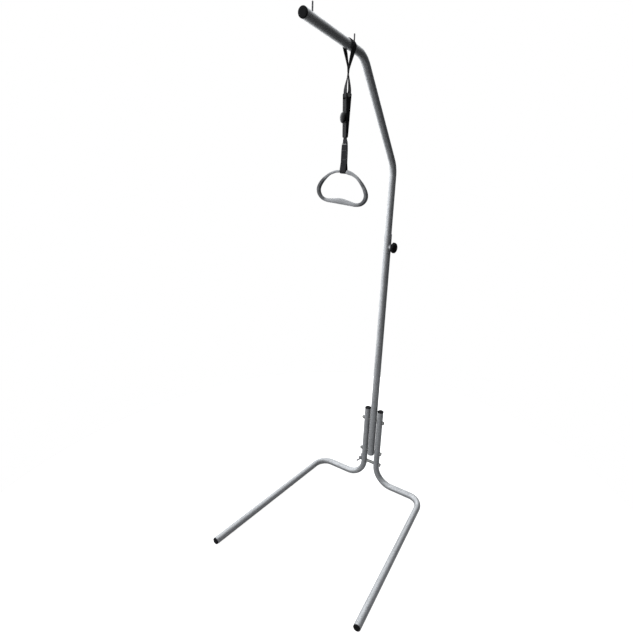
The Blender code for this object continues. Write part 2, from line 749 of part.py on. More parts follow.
def rounded_box_mesh(name, width, low, high, corner, thickness):
    """A plate in Y and Z with round corners, its thickness across X."""
    points = []
    for turn, (across, up) in enumerate(((1, 1), (-1, 1), (-1, -1), (1, -1))):
        middle = (across * (width / 2 - corner), (high if up > 0 else low) - up * corner)
        for step in range(4):
            angle = math.pi / 2 * (turn + step / 3)
            points.append((middle[0] + corner * math.cos(angle), middle[1] + corner * math.sin(angle)))
    mesh = plate_mesh(name, [points], thickness)
    mesh.transform(Matrix.Rotation(math.pi / 2, 4, "Z"))
    return mesh


def adjuster_half_thickness(height):
    """Half the housing's thickness, which tapers down to its foot."""
    share = (height - ADJUSTER_FOOT) / ADJUSTER_LENGTH
    return (ADJUSTER_FOOT_THICKNESS * (1 - share) + ADJUSTER_TOP_THICKNESS * share) / 2


def adjuster():
    """The housing that sets the strap's length: a fork on the bar, a slot for the webbing, and a button."""
    name = "adjuster_frame"
    deep = ADJUSTER_TOP_THICKNESS
    mesh = rounded_box_mesh(name, ADJUSTER_WIDTH, ADJUSTER_FOOT, ADJUSTER_TOP, ADJUSTER_CORNER, deep)
    for vertex in mesh.vertices:
        vertex.co.x = math.copysign(adjuster_half_thickness(vertex.co.z), vertex.co.x)
    made = add(name, mesh, BLACK_PLASTIC, ADJUSTER_FRAME)
    edges = made.modifiers.new("soft_edges", "BEVEL")
    edges.width = ADJUSTER_EDGE
    edges.segments = 2
    edges.limit_method = "ANGLE"
    edges.angle_limit = math.radians(60)
    fork_half = WEBBING_WIDTH / 2 + 2 * GAP
    fork_low = ADJUSTER_TOP - FORK_DEPTH
    fork = box_mesh("adjuster_fork", (-deep, -fork_half, fork_low), (deep, fork_half, ADJUSTER_TOP + deep))
    boolean(made, cutter("adjuster_fork", fork, ADJUSTER_FRAME))
    slot_half = WEBBING_THICKNESS / 2 + GAP
    slot = box_mesh(
        "adjuster_slot",
        (-slot_half, -fork_half, ADJUSTER_FOOT - deep),
        (slot_half, fork_half, fork_low - SLOT_WEB),
    )
    boolean(made, cutter("adjuster_slot", slot, ADJUSTER_FRAME))
    bar_place = (0, 0, ADJUSTER_BAR_HEIGHT)
    bar_end = ADJUSTER_WIDTH / 2 - GAP
    drill(made, bar_place, "+Y", ADJUSTER_BAR_RADIUS + GAP, -ADJUSTER_WIDTH, ADJUSTER_WIDTH, 20)
    bar = cylinder_mesh("adjuster_bar", ADJUSTER_BAR_RADIUS, -bar_end, bar_end, bar_place, "+Y")
    smooth(bar)
    add("adjuster_bar", bar, ZINC, ADJUSTER_FRAME)

    button_height = ADJUSTER_FOOT + BUTTON_ABOVE_FOOT
    recess_floor = slot_half + BUTTON_WEB
    drill(made, (0, 0, button_height), "-X", BUTTON_NECK_RADIUS + GAP, recess_floor, deep, sides=24)
    neck_end = recess_floor + BUTTON_TRAVEL + GAP
    disc_start = adjuster_half_thickness(button_height + BUTTON_RADIUS) + BUTTON_TRAVEL + GAP
    rim = disc_start + BUTTON_RIM
    profile = [(0, rim + BUTTON_DOME)]
    for step in range(1, 6):
        lean = math.radians(18 * step)
        profile.append((BUTTON_RADIUS * math.sin(lean), rim + BUTTON_DOME * math.cos(lean)))
    profile += [
        (BUTTON_RADIUS, disc_start + BUTTON_RIM * 0.3),
        (BUTTON_RADIUS * 0.97, disc_start),
        (BUTTON_NECK_RADIUS, disc_start),
        (BUTTON_NECK_RADIUS, neck_end),
        (0, neck_end),
    ]
    turned("adjuster_button", profile, BLACK_PLASTIC, ADJUSTER_FRAME, (0, 0, button_height), "-X", steps=28)


def lower_strap():
    """Webbing from the adjuster down to the handle, folded back up round the handle's bar and sewn."""
    thick = WEBBING_THICKNESS
    bar_side = HANDLE_BAR_RADIUS + GAP
    top = ADJUSTER_FOOT + TAIL_IN_ADJUSTER
    stitch = ADJUSTER_FOOT - STITCH_BELOW_ADJUSTER
    eye_top = HANDLE_BAR_HEIGHT + EYE_TOP_ABOVE_BAR
    outer = [(thick / 2, top)]
    outer += [(thick / 2, height) for height in side_heights(ADJUSTER_FOOT, stitch + thick, 4)]
    outer += [(thick, height) for height in side_heights(stitch, eye_top, 7)]
    leg_heights = side_heights(eye_top, HANDLE_BAR_HEIGHT, 5)[1:-1]
    legs = [(bar_side * eased((eye_top - height) / EYE_TOP_ABOVE_BAR), height) for height in leg_heights]
    outer += [(across + thick, height) for across, height in legs]
    outer += arc(HANDLE_BAR_HEIGHT, bar_side + thick, 0, -math.pi / 2, 6)
    hole = [(0, eye_top)] + legs + arc(HANDLE_BAR_HEIGHT, bar_side, 0, -math.pi / 2, 6)
    mesh = plate_mesh("lower_strap", [mirrored(outer), mirrored(hole)], WEBBING_WIDTH)

    def turn_at(height):
        share = min(max((ADJUSTER_FOOT - height) / (ADJUSTER_FOOT - eye_top), 0.0), 1.0)
        return ADJUSTER_TURN + (HANDLE_TURN - ADJUSTER_TURN) * (1 - (1 - share) ** 3)

    add("lower_strap", twisted(mesh, turn_at), WEBBING, STRAP_FRAME)


# Handle
def handle():
    """A kidney-shaped ring: a thin top bar for the strap, with a stop beside it, and a thicker grip."""
    wide = HANDLE_HALF_WIDTH
    tall = HANDLE_HEIGHT
    bar = HANDLE_BAR_RADIUS
    stop = HANDLE_STOP_RADIUS
    side = HANDLE_SIDE_RADIUS
    grip = HANDLE_GRIP_RADIUS
    straight = WEBBING_WIDTH / 2 + 2 * GAP
    half_ring = [
        (0, 0, bar, bar),
        (straight / 2, 0, bar, bar),
        (straight, 0, bar, bar),
        (straight + STOP_RAMP, tall * 0.005, bar * 1.03, stop),
        (wide * 0.30, tall * 0.028, bar * 1.06, stop * 0.94),
        (wide * 0.42, tall * 0.066, bar * 1.04, stop * 0.80),
        (wide * 0.60, tall * 0.155, bar * 1.06, bar * 1.28),
        (wide * 0.82, tall * 0.345, side * 0.84, side * 0.84),
        (wide * 0.955, tall * 0.53, side * 0.96, side * 0.96),
        (wide, tall * 0.685, side, side),
        (wide * 0.955, tall * 0.83, side * 0.97, side * 0.97),
        (wide * 0.82, tall * 0.95, side * 0.86, side * 0.86),
        (wide * 0.61, tall, side * 0.86, side * 0.86),
        (wide * 0.34, tall * 0.985, grip * 0.80, grip * 0.80),
        (0, tall * 0.965, grip, grip),
    ]
    ring = [(across, -down, plain) for across, down, plain, stopped in half_ring]
    ring += [(-across, -down, stopped) for across, down, plain, stopped in reversed(half_ring[1:-1])]
    data = bpy.data.curves.new("handle", "CURVE")
    data.dimensions = "3D"
    data.twist_mode = "Z_UP"
    data.bevel_depth = 1.0
    data.bevel_resolution = 3
    data.resolution_u = 2
    spline = data.splines.new("BEZIER")
    spline.bezier_points.add(len(ring) - 1)
    spline.use_cyclic_u = True
    for point, (across, up, radius) in zip(spline.bezier_points, ring):
        lean = HANDLE_TILT if abs(across) > straight or up < 0 else 0.0
        place = Matrix.Rotation(lean, 3, "X") @ Vector((0, across, up))
        point.co = place + Vector((0, 0, HANDLE_BAR_HEIGHT))
        point.handle_left_type = "AUTO"
        point.handle_right_type = "AUTO"
        point.radius = radius
    mesh = mesh_from_curve("handle", data)
    smooth(mesh, 60)
    add("handle", mesh, GREY_PLASTIC, HANDLE_FRAME)


leg("left", -1)
leg("right", 1)
lower_mast()
upper_mast()
cross_bolt("upper", UPPER_BOLT_HEIGHT)
cross_bolt("middle", MIDDLE_BOLT_HEIGHT)
tie_bolt()
clamp()
strap_loop()
adjuster()
lower_strap()
handle()
bpy.context.view_layer.update()
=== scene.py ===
"""The look of the bed trapeze: all its materials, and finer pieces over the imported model.

The finer pieces are the tubes, the webbing with its stitches, the knob and the handle.
Metres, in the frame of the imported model: +Z up, the legs and the boom towards -Y, and the
floor at z = 0.
"""

import json
import math

import bmesh
import bpy
from mathutils import Matrix, Vector


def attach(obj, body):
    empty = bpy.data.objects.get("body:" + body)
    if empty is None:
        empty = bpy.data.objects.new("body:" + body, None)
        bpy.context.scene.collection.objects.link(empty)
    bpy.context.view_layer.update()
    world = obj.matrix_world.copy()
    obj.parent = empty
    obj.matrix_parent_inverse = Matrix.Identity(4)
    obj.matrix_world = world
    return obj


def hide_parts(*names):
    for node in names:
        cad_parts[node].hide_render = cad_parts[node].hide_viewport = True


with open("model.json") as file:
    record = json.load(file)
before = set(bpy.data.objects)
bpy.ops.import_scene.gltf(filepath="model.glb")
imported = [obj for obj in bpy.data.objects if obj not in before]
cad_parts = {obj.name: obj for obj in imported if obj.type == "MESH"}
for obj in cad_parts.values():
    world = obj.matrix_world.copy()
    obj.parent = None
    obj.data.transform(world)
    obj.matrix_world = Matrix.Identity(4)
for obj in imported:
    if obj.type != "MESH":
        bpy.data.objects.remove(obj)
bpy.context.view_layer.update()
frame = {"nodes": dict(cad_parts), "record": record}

# Camera
IMAGE_SIDE = 633
SENSOR_WIDTH = 36.0
CAMERA_PLACE = Vector((0.7627, -1.1774, 1.3817))
CAMERA_YAW = math.radians(-25.4411)
CAMERA_PITCH = math.radians(16.1976)
CAMERA_ROLL = math.radians(-5.0286)
FOCAL_PIXELS = 409.3957
OPTICAL_CENTRE = (394.8796, 304.2195)

# Tubes
MAST_Y = 0.305744
TUBE_SIDES = 48
TUBE_BEND_STEP = math.radians(3.0)
TUBE_EDGE = 0.0003
WALL = 0.0015
LEG_RADIUS = 0.0135
LEG_AXIS_HEIGHT = 0.01333
UPRIGHT_OFFSET = 0.033
UPRIGHT_TOP = 0.386
LEG_SPREAD = 0.2739
LEG_LENGTH = 0.6207
LEG_TOE_OUT = math.radians(4.13)
FLOOR_BEND_RADIUS = 0.060
UPRIGHT_BEND_RADIUS = 0.086
LOWER_MAST_RADIUS = 0.0155
LOWER_MAST_FOOT = 0.150
LOWER_MAST_TOP = 1.190
UPPER_MAST_RADIUS = 0.0135
UPPER_MAST_FOOT = 0.840
SLOPE_START_HEIGHT = 1.4463
SLOPE_REACH = 0.3008
BOOM_HEIGHT = 1.7471
BOOM_REACH = 0.6120
MAST_BEND_RADIUS = 0.080
BOOM_SWING = math.radians(4.4)
BOLT_HOLE = 0.0043
BOLT_HEIGHTS = (0.333, 0.168, 0.108)
CLAMP_HEIGHT = 1.137
BOSS_RADIUS = 0.011
PIN_HOLE = 0.0024
PIN_REACHES = (0.5750, 0.3620)

# Weld round the clamp's boss
WELD_RADIUS = 0.0012
WELD_REACH = BOSS_RADIUS + 0.0006
WELD_RISE = 0.0003
WELD_RIPPLE = 0.00018
WELD_RIPPLES = 24
WELD_STEPS = 96
WELD_SIDES = 10

# Knob
KNOB_START = 0.0193
KNOB_RADIUS = 0.0215
KNOB_LENGTH = 0.0225
KNOB_HUB_RADIUS = 0.013
KNOB_BLIND_END = 0.0316
KNOB_FLUTES = 8
KNOB_FLUTE_DEPTH = 0.0021
KNOB_SIDES = 144
KNOB_DOME_STEPS = 12
KNOB_TIP = 0.0004

# Strap
GAP = 0.0003
STRAP_REACH = 0.3880
WEBBING_WIDTH = 0.022
WEBBING_THICKNESS = 0.0022
WEAVE_COLUMN = 0.0022
WEAVE_ROW = 0.0016
SELVEDGE_STEP = math.radians(36.0)
LAYER_GAP = 0.00006
LOOP_SLACK = 0.0015
LEAVE_ANGLE = math.radians(14.0)
PINCH_HEIGHT = 1.6831
PINCH_HALF_LENGTH = 0.006
EYE_TAPER = 0.048
ADJUSTER_BAR_HEIGHT = 1.6173
ADJUSTER_BAR_RADIUS = 0.0050
ADJUSTER_TURN = math.radians(52.0)
ADJUSTER_FOOT = 1.5027
TAIL_TOP = 1.5827
STITCH_HEIGHT = 1.4891
STITCH_RADIUS = 0.00046
STITCH_SIDES = 8
STITCH_STEPS = 6
DARK_STITCH_LENGTH = 0.0026
LIGHT_STITCH_LENGTH = 0.0031
STITCH_FACE = WEBBING_THICKNESS + LAYER_GAP / 2 + 0.0001
PINCH_ROWS = (-0.0042, -0.0014, 0.0014, 0.0042)
PINCH_ROW_INSET = 0.0020
LIGHT_ROW_DROP = 0.004
BOX_STITCH_INSET = 0.0022
BOX_STITCH_RISES = (0.004, 0.030)
STEP_DOWN = 0.010
LAYER_MIDDLE = WEBBING_THICKNESS / 2 + LAYER_GAP / 2
HANDLE_BAR_HEIGHT = 1.4071
HANDLE_BAR_RADIUS = 0.0038
HANDLE_EYE_LENGTH = 0.030

# Handle
HANDLE_HALF_WIDTH = 0.0872
HANDLE_HEIGHT = 0.0920
HANDLE_STOP_RADIUS = 0.0064
STOP_RAMP = 0.0020
HANDLE_GRIP_RADIUS = 0.0092
HANDLE_SIDE_RADIUS = 0.0068
HANDLE_TILT = math.radians(3.0)
HANDLE_GROOVE = 0.0011
HANDLE_SIDES = 40
HANDLE_FINE = 12

# Surfaces
MATT_IOR = 1.06
WEBBING_IOR = 1.08
BUTTON_IOR = 1.12
HANDLE_IOR = 1.2
SIDE_SHADE = 0.42

# Floor and light
FLOOR_RADIUS = 1.4
FLOOR_BRIGHT_FROM = 0.7
FLOOR_HEIGHT = -0.0003
BRIGHT_SIDE = (-0.84, -0.18, 0.44)
GLOW_START = -0.45
DIM_ROOM = 0.12
SIDE_GLOW = 4.5
OVERHEAD_START = 0.1
OVERHEAD_GLOW = 0.7
LEFT_BOX_PLACE = Vector((-2.2, -1.9, 1.0))
LEFT_BOX_TARGET = Vector((0, -0.1, 0.1))
LEFT_BOX_SIZE = (2.4, 2.0)
LEFT_BOX_POWER = 12.0

MAST = Matrix.Translation((0, MAST_Y, 0))
BOOM = MAST @ Matrix.Rotation(BOOM_SWING, 4, "Z")
STRAP = BOOM @ Matrix.Translation((0, -STRAP_REACH, 0))
HANDLE_TURN = math.radians(90.0) - BOOM_SWING
HANDLE = STRAP @ Matrix.Rotation(HANDLE_TURN, 4, "Z")


def make_camera():
    """A camera with the picture's own place, turn, focal length and optical centre."""
    ahead = Vector((
        math.sin(CAMERA_YAW) * math.cos(CAMERA_PITCH),
        math.cos(CAMERA_YAW) * math.cos(CAMERA_PITCH),
        -math.sin(CAMERA_PITCH),
    ))
    level = Vector((math.cos(CAMERA_YAW), -math.sin(CAMERA_YAW), 0))
    below = ahead.cross(level)
    right = level * math.cos(CAMERA_ROLL) + below * math.sin(CAMERA_ROLL)
    down = below * math.cos(CAMERA_ROLL) - level * math.sin(CAMERA_ROLL)
    data = bpy.data.cameras.new("camera")
    data.sensor_width = SENSOR_WIDTH
    data.lens = SENSOR_WIDTH * FOCAL_PIXELS / IMAGE_SIDE
    data.shift_x = (IMAGE_SIDE / 2 - OPTICAL_CENTRE[0]) / IMAGE_SIDE
    data.shift_y = (OPTICAL_CENTRE[1] - IMAGE_SIDE / 2) / IMAGE_SIDE
    made = bpy.data.objects.new("camera", data)
    turn = Matrix((right, -down, -ahead)).transposed().to_4x4()
    made.matrix_world = Matrix.Translation(CAMERA_PLACE) @ turn
    bpy.context.scene.collection.objects.link(made)
    bpy.context.scene.camera = made


make_camera()


class Finish:
    """A material and short calls that add nodes to it."""

    def __init__(self, name):
        self.material = bpy.data.materials.new(name)
        self.material.use_nodes = True
        self.tree = self.material.node_tree
        self.shader = self.tree.nodes["Principled BSDF"]
        self.place = self.tree.nodes.new("ShaderNodeTexCoord").outputs["Object"]

    def node(self, kind, inputs=(), **settings):
        made = self.tree.nodes.new(kind)
        for key, value in settings.items():
            setattr(made, key, value)
        for key, value in dict(inputs).items():
            self.feed(made.inputs[key], value)
        return made

    def feed(self, socket, value):
        if isinstance(value, bpy.types.NodeSocket):
            self.tree.links.new(value, socket)
        else:
            socket.default_value = value

    def math(self, operation, first, second=0.0):
        made = self.node("ShaderNodeMath", operation=operation)
        self.feed(made.inputs[0], first)
        self.feed(made.inputs[1], second)
        return made.outputs[0]

    def noise(self, scale, detail=2.0, roughness=0.5):
        inputs = {"Vector": self.place, "Scale": scale, "Detail": detail, "Roughness": roughness}
        return self.node("ShaderNodeTexNoise", inputs).outputs["Fac"]

    def spread(self, value, low, high, start=0.0, end=1.0):
        made = self.node("ShaderNodeMapRange", {"Value": value, "To Min": low, "To Max": high})
        made.inputs["From Min"].default_value = start
        made.inputs["From Max"].default_value = end
        return made.outputs["Result"]

    def ramp(self, value, *stops):
        made = self.node("ShaderNodeValToRGB", {"Fac": value})
        elements = made.color_ramp.elements
        for index, (at, colour) in enumerate(stops):
            element = elements[index] if index < 2 else elements.new(at)
            element.position = at
            element.color = (*colour, 1.0)
        return made.outputs["Color"]

    def bump(self, height, distance, strength=1.0, under=None):
        inputs = {"Height": height, "Distance": distance, "Strength": strength}
        made = self.node("ShaderNodeBump", inputs)
        if under:
            self.feed(made.inputs["Normal"], under)
        return made.outputs["Normal"]

    def surface(self, colour, roughness, normal=None, metallic=0.0, ior=None):
        self.feed(self.shader.inputs["Base Color"], colour)
        self.feed(self.shader.inputs["Roughness"], roughness)
        self.shader.inputs["Metallic"].default_value = metallic
        if normal:
            self.feed(self.shader.inputs["Normal"], normal)
        if ior:
            self.shader.inputs["IOR"].default_value = ior
        return self.material


# Materials
def hammertone_paint():
    """Silver-grey paint that dries in small shallow cells with darker rims."""
    finish = Finish("hammertone_paint_look")
    noise = finish.node(
        "ShaderNodeTexNoise",
        {"Vector": finish.place, "Scale": 260.0, "Detail": 1.0},
    )
    shifted = finish.node(
        "ShaderNodeVectorMath",
        {0: noise.outputs["Color"], 1: (0.0028, 0.0028, 0.0028), 2: finish.place},
        operation="MULTIPLY_ADD",
    )
    cells = finish.node(
        "ShaderNodeTexVoronoi",
        {"Vector": shifted.outputs[0], "Scale": 480.0},
        feature="SMOOTH_F1",
    ).outputs["Distance"]
    dome = finish.spread(cells, 1.0, 0.0, 0.05, 0.75)
    broad = finish.noise(22.0, 3.0)
    cell_share = finish.math("MULTIPLY", dome, 0.75)
    mixed = finish.math("ADD", cell_share, finish.math("MULTIPLY", broad, 0.25))
    colour = finish.ramp(
        mixed,
        (0.18, (0.100, 0.102, 0.106)),
        (0.75, (0.222, 0.226, 0.231)),
        (0.45, (0.166, 0.169, 0.174)),
    )
    roughness = finish.spread(mixed, 0.48, 0.34, 0.2, 0.8)
    normal = finish.bump(dome, 0.00008, 0.3)
    return finish.surface(colour, roughness, normal, metallic=0.62)


def black_plastic():
    """Matt moulded plastic of the caps, the knob and the adjuster's housing."""
    finish = Finish("black_plastic_look")
    grain = finish.noise(1400.0, 2.0)
    broad = finish.noise(60.0, 3.0)
    colour = finish.ramp(broad, (0.3, (0.003, 0.003, 0.0033)), (0.75, (0.007, 0.007, 0.0077)))
    roughness = finish.spread(broad, 0.40, 0.54, 0.3, 0.7)
    return finish.surface(colour, roughness, finish.bump(grain, 0.00006, 0.5), ior=MATT_IOR)


def polished_black():
    """The push button's plastic, smoother than the housing round it."""
    finish = Finish("polished_black_look")
    broad = finish.noise(120.0, 3.0)
    colour = finish.ramp(broad, (0.3, (0.004, 0.004, 0.0044)), (0.75, (0.008, 0.008, 0.0088)))
    roughness = finish.spread(broad, 0.22, 0.30, 0.3, 0.7)
    return finish.surface(colour, roughness, finish.bump(broad, 0.00002, 0.3), ior=BUTTON_IOR)


def zinc_steel():
    """Dull zinc of the bolts, nuts, washers, spacers and pins."""
    finish = Finish("zinc_steel_look")
    cloud = finish.noise(90.0, 4.0, 0.6)
    fine = finish.noise(900.0, 2.0)
    colour = finish.ramp(cloud, (0.3, (0.060, 0.060, 0.058)), (0.7, (0.130, 0.130, 0.126)))
    roughness = finish.spread(cloud, 0.60, 0.46, 0.3, 0.7)
    return finish.surface(colour, roughness, finish.bump(fine, 0.00004, 0.5), metallic=0.85)


def dark_steel():
    finish = Finish("dark_steel_look")
    cloud = finish.noise(140.0, 4.0, 0.6)
    colour = finish.ramp(cloud, (0.3, (0.030, 0.030, 0.032)), (0.75, (0.050, 0.050, 0.053)))
    roughness = finish.spread(cloud, 0.62, 0.48, 0.3, 0.7)
    normal = finish.bump(finish.noise(700.0), 0.00004, 0.4)
    return finish.surface(colour, roughness, normal, metallic=0.5)


def white_nylon():
    finish = Finish("white_nylon_look")
    cloud = finish.noise(120.0, 3.0)
    colour = finish.ramp(cloud, (0.3, (0.68, 0.67, 0.62)), (0.7, (0.78, 0.77, 0.73)))
    roughness = finish.spread(cloud, 0.42, 0.55)
    return finish.surface(colour, roughness, finish.bump(finish.noise(800.0), 0.00005, 0.5))


def black_webbing():
    """Herringbone webbing. Its UV map, in metres, runs along the strap and across it."""
    finish = Finish("black_webbing_look")
    uv = finish.node("ShaderNodeUVMap").outputs["UV"]
    split = finish.node("ShaderNodeSeparateXYZ", {"Vector": uv})
    along, across = split.outputs["X"], split.outputs["Y"]
    column = finish.math("MULTIPLY", across, 2 * math.pi / WEAVE_COLUMN)
    side = finish.math("SINE", column)
    lean = finish.math("MULTIPLY", finish.math("ABSOLUTE", finish.math("ARCSINE", side)), 0.9)
    row = finish.math("ADD", finish.math("MULTIPLY", along, 2 * math.pi / WEAVE_ROW), lean)
    yarn = finish.math("MULTIPLY", finish.math("ADD", finish.math("SINE", row), 1.0), 0.5)
    groove = finish.math("POWER", finish.math("ABSOLUTE", side), 0.5)
    yarn_share = finish.math("MULTIPLY", yarn, 0.6)
    height = finish.math("ADD", yarn_share, finish.math("MULTIPLY", groove, 0.4))
    fuzz = finish.noise(2200.0, 2.0)
    worn = finish.noise(75.0, 3.0)
    mixed = finish.math("MULTIPLY", height, finish.spread(worn, 0.75, 1.0, 0.3, 0.7))
    colour = finish.ramp(
        mixed,
        (0.05, (0.004, 0.004, 0.0045)),
        (0.95, (0.026, 0.026, 0.028)),
        (0.55, (0.012, 0.012, 0.013)),
    )
    normal = finish.bump(height, 0.00028, 0.8, finish.bump(fuzz, 0.00006, 0.5))
    return finish.surface(colour, finish.spread(fuzz, 0.68, 0.88), normal, ior=WEBBING_IOR)


def grey_plastic():
    """The handle's grey moulding, with painted shade that darkens its sides so that the grip and
    the top bar stay lighter.
    """
    finish = Finish("grey_plastic_look")
    broad = finish.noise(34.0, 3.0)
    grain = finish.noise(1500.0, 2.0)
    across = finish.node("ShaderNodeSeparateXYZ", {"Vector": finish.place}).outputs["X"]
    from_middle = finish.math("ABSOLUTE", finish.math("SUBTRACT", across, STRAP.translation.x))
    # Painted shade: the colour darkens with the distance from the middle of the handle, towards
    # both of its sides.
    shade_from, shade_to = HANDLE_HALF_WIDTH * 0.45, HANDLE_HALF_WIDTH * 0.85
    side = finish.spread(from_middle, 0.0, SIDE_SHADE, shade_from, shade_to)
    shade = finish.math("SUBTRACT", broad, side)
    colour = finish.ramp(
        shade,
        (0.05, (0.040, 0.041, 0.043)),
        (0.72, (0.158, 0.160, 0.165)),
        (0.3, (0.122, 0.124, 0.128)),
    )
    roughness = finish.spread(broad, 0.44, 0.58, 0.3, 0.7)
    return finish.surface(colour, roughness, finish.bump(grain, 0.00008, 0.5), ior=HANDLE_IOR)


def thread(name, colour):
    finish = Finish(name)
    twist = finish.noise(1800.0, 2.0)
    dark = tuple(channel * 0.62 for channel in colour)
    shade = finish.ramp(twist, (0.35, dark), (0.65, colour))
    return finish.surface(shade, 0.7, finish.bump(twist, 0.00008, 0.6))


LOOKS = {
    "hammertone_paint": hammertone_paint(),
    "black_plastic": black_plastic(),
    "zinc_steel": zinc_steel(),
    "dark_steel": dark_steel(),
    "white_nylon": white_nylon(),
    "black_webbing": black_webbing(),
    "grey_plastic": grey_plastic(),
}
POLISHED_BLACK = polished_black()
LIGHT_THREAD = thread("light_thread_look", (0.52, 0.52, 0.50))
DARK_THREAD = thread("dark_thread_look", (0.05, 0.05, 0.054))

for subpart in frame["record"]["subparts"]:
    node = frame["nodes"][subpart["node"]]
    node.data.materials.clear()
    look = LOOKS[subpart["material_slot"]]
    node.data.materials.append(POLISHED_BLACK if subpart["node"] == "adjuster_button" else look)


def eased(value):
    """The value held between 0 and 1, with a slow start and end."""
    value = min(max(value, 0.0), 1.0)
    return value * value * (3 - 2 * value)


def add_piece(name, shape, look, body, nodes=(), sharp=35.0):
    """A closed mesh as a smooth piece that rides on a body, in the place of CAD nodes if any."""
    bmesh.ops.recalc_face_normals(shape, faces=shape.faces)
    mesh = bpy.data.meshes.new(name)
    shape.to_mesh(mesh)
    shape.free()
    mesh.shade_smooth()
    mesh.set_sharp_from_angle(angle=math.radians(sharp))
    mesh.materials.append(look)
    made = bpy.data.objects.new(name, mesh)
    bpy.context.scene.collection.objects.link(made)
    if nodes:
        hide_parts(*nodes)
    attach(made, body)


def loft(shape, rings, closed=False):
    """Faces between rings of points. An open loft gets a cap at each end."""
    rows = [[shape.verts.new(point) for point in ring] for ring in rings]
    count = len(rows[0])
    pairs = list(zip(rows, rows[1:] + rows[:1] if closed else rows[1:]))
    for first, second in pairs:
        for index in range(count):
            after = (index + 1) % count
            shape.faces.new((first[index], first[after], second[after], second[index]))
    if not closed:
        shape.faces.new(rows[0])
        shape.faces.new(list(reversed(rows[-1])))
    return rows


def rounded_path(corners, radii, step_angle):
    """The points of a bent tube's axis, with an arc of each radius at the inner corners."""
    points = [Vector(corners[0])]
    for before, corner, after, radius in zip(corners, corners[1:], corners[2:], radii):
        corner = Vector(corner)
        inward = (Vector(before) - corner).normalized()
        onward = (Vector(after) - corner).normalized()
        turn = math.pi - inward.angle(onward)
        reach = radius * math.tan(turn / 2)
        centre = corner + (inward + onward).normalized() * radius / math.cos(turn / 2)
        start = corner + inward * reach - centre
        axis = start.cross(corner + onward * reach - centre).normalized()
        steps = max(2, round(turn / step_angle))
        for step in range(steps + 1):
            points.append(centre + Matrix.Rotation(turn * step / steps, 3, axis) @ start)
    points.append(Vector(corners[-1]))
    return points


def tangents(path, closed=False):
    """The direction of a path at each of its points."""
    count = len(path)
    found = []
    for index in range(count):
        before = path[index - 1] if closed or index else path[0]
        after = path[(index + 1) % count] if closed or index < count - 1 else path[-1]
        found.append((after - before).normalized())
    return found


def round_rings(path, radius, sides):
    """Circles round a path, each turned as little as possible from the last."""
    directions = tangents(path)
    side = directions[0].orthogonal().normalized()
    rings = []
    for point, direction in zip(path, directions):
        side = (side - direction * side.dot(direction)).normalized()
        other = direction.cross(side)
        ring = []
        for index in range(sides):
            angle = 2 * math.pi * index / sides
            across = side * radius * math.cos(angle)
            ring.append(point + across + other * radius * math.sin(angle))
        rings.append(ring)
    return rings


def cylinder(name, radius, start, end, sides=32):
    """A plain closed cylinder between two points, for cutting."""
    shape = bmesh.new()
    loft(shape, round_rings([Vector(start), Vector(end)], radius, sides))
    bmesh.ops.recalc_face_normals(shape, faces=shape.faces)
    mesh = bpy.data.meshes.new(name)
    shape.to_mesh(mesh)
    shape.free()
    made = bpy.data.objects.new(name, mesh)
    bpy.context.scene.collection.objects.link(made)
    return made


def cut_holes(shape, matrix, holes):
    """The shape less its round holes, which are (radius, start, end)."""
    mesh = bpy.data.meshes.new("whole")
    bmesh.ops.recalc_face_normals(shape, faces=shape.faces)
    shape.to_mesh(mesh)
    shape.free()
    whole = bpy.data.objects.new("whole", mesh)
    bpy.context.scene.collection.objects.link(whole)
    tools = [cylinder(f"drill_{index}", *hole) for index, hole in enumerate(holes)]
    for tool in tools:
        cut = whole.modifiers.new(tool.name, "BOOLEAN")
        cut.object = tool
        cut.solver = "EXACT"
    bpy.context.view_layer.update()
    evaluated = whole.evaluated_get(bpy.context.evaluated_depsgraph_get())
    drilled = bmesh.new()
    drilled.from_mesh(evaluated.data)
    drilled.transform(matrix)
    for item in [whole] + tools:
        bpy.data.objects.remove(item, do_unlink=True)
    return drilled


def bent_tube(name, corners, radii, radius, matrix, body, holes):
    """A bent tube with its bore, its broken edges and its holes, in the place of the CAD node."""
    path = rounded_path(corners, radii, TUBE_BEND_STEP)
    first = (path[1] - path[0]).normalized()
    last = (path[-2] - path[-1]).normalized()
    outer_path = [path[0], path[0] + first * TUBE_EDGE, *path[1:-1]]
    outer_path += [path[-1] + last * TUBE_EDGE, path[-1]]
    outer = round_rings(outer_path, radius, TUBE_SIDES)
    inner = round_rings(path, radius - WALL, TUBE_SIDES)
    for ring, centre in ((outer[0], path[0]), (outer[-1], path[-1])):
        for index, point in enumerate(ring):
            ring[index] = centre + (point - centre) * (1 - TUBE_EDGE / radius)
    shape = bmesh.new()
    loft(shape, outer + inner[::-1], closed=True)
    shape = cut_holes(shape, matrix, holes)
    look = LOOKS["hammertone_paint"]
    add_piece(f"{name}_tube", shape, look, body, [name])


def legs():
    """Both legs: an upright, a short run outwards and a long one forwards."""
    splay = LEG_LENGTH * math.tan(LEG_TOE_OUT)
    for side, sign in (("left", -1), ("right", 1)):
        corners = [
            (sign * UPRIGHT_OFFSET, 0, UPRIGHT_TOP),
            (sign * UPRIGHT_OFFSET, 0, LEG_AXIS_HEIGHT),
            (sign * LEG_SPREAD, 0, LEG_AXIS_HEIGHT),
            (sign * (LEG_SPREAD + splay), -LEG_LENGTH, LEG_AXIS_HEIGHT),
        ]
        far = sign * 2 * UPRIGHT_OFFSET
        holes = [(BOLT_HOLE, (0, 0, height), (far, 0, height)) for height in BOLT_HEIGHTS]
        radii = (UPRIGHT_BEND_RADIUS, FLOOR_BEND_RADIUS)
        bent_tube(f"leg_{side}", corners, radii, LEG_RADIUS, MAST, "base", holes)


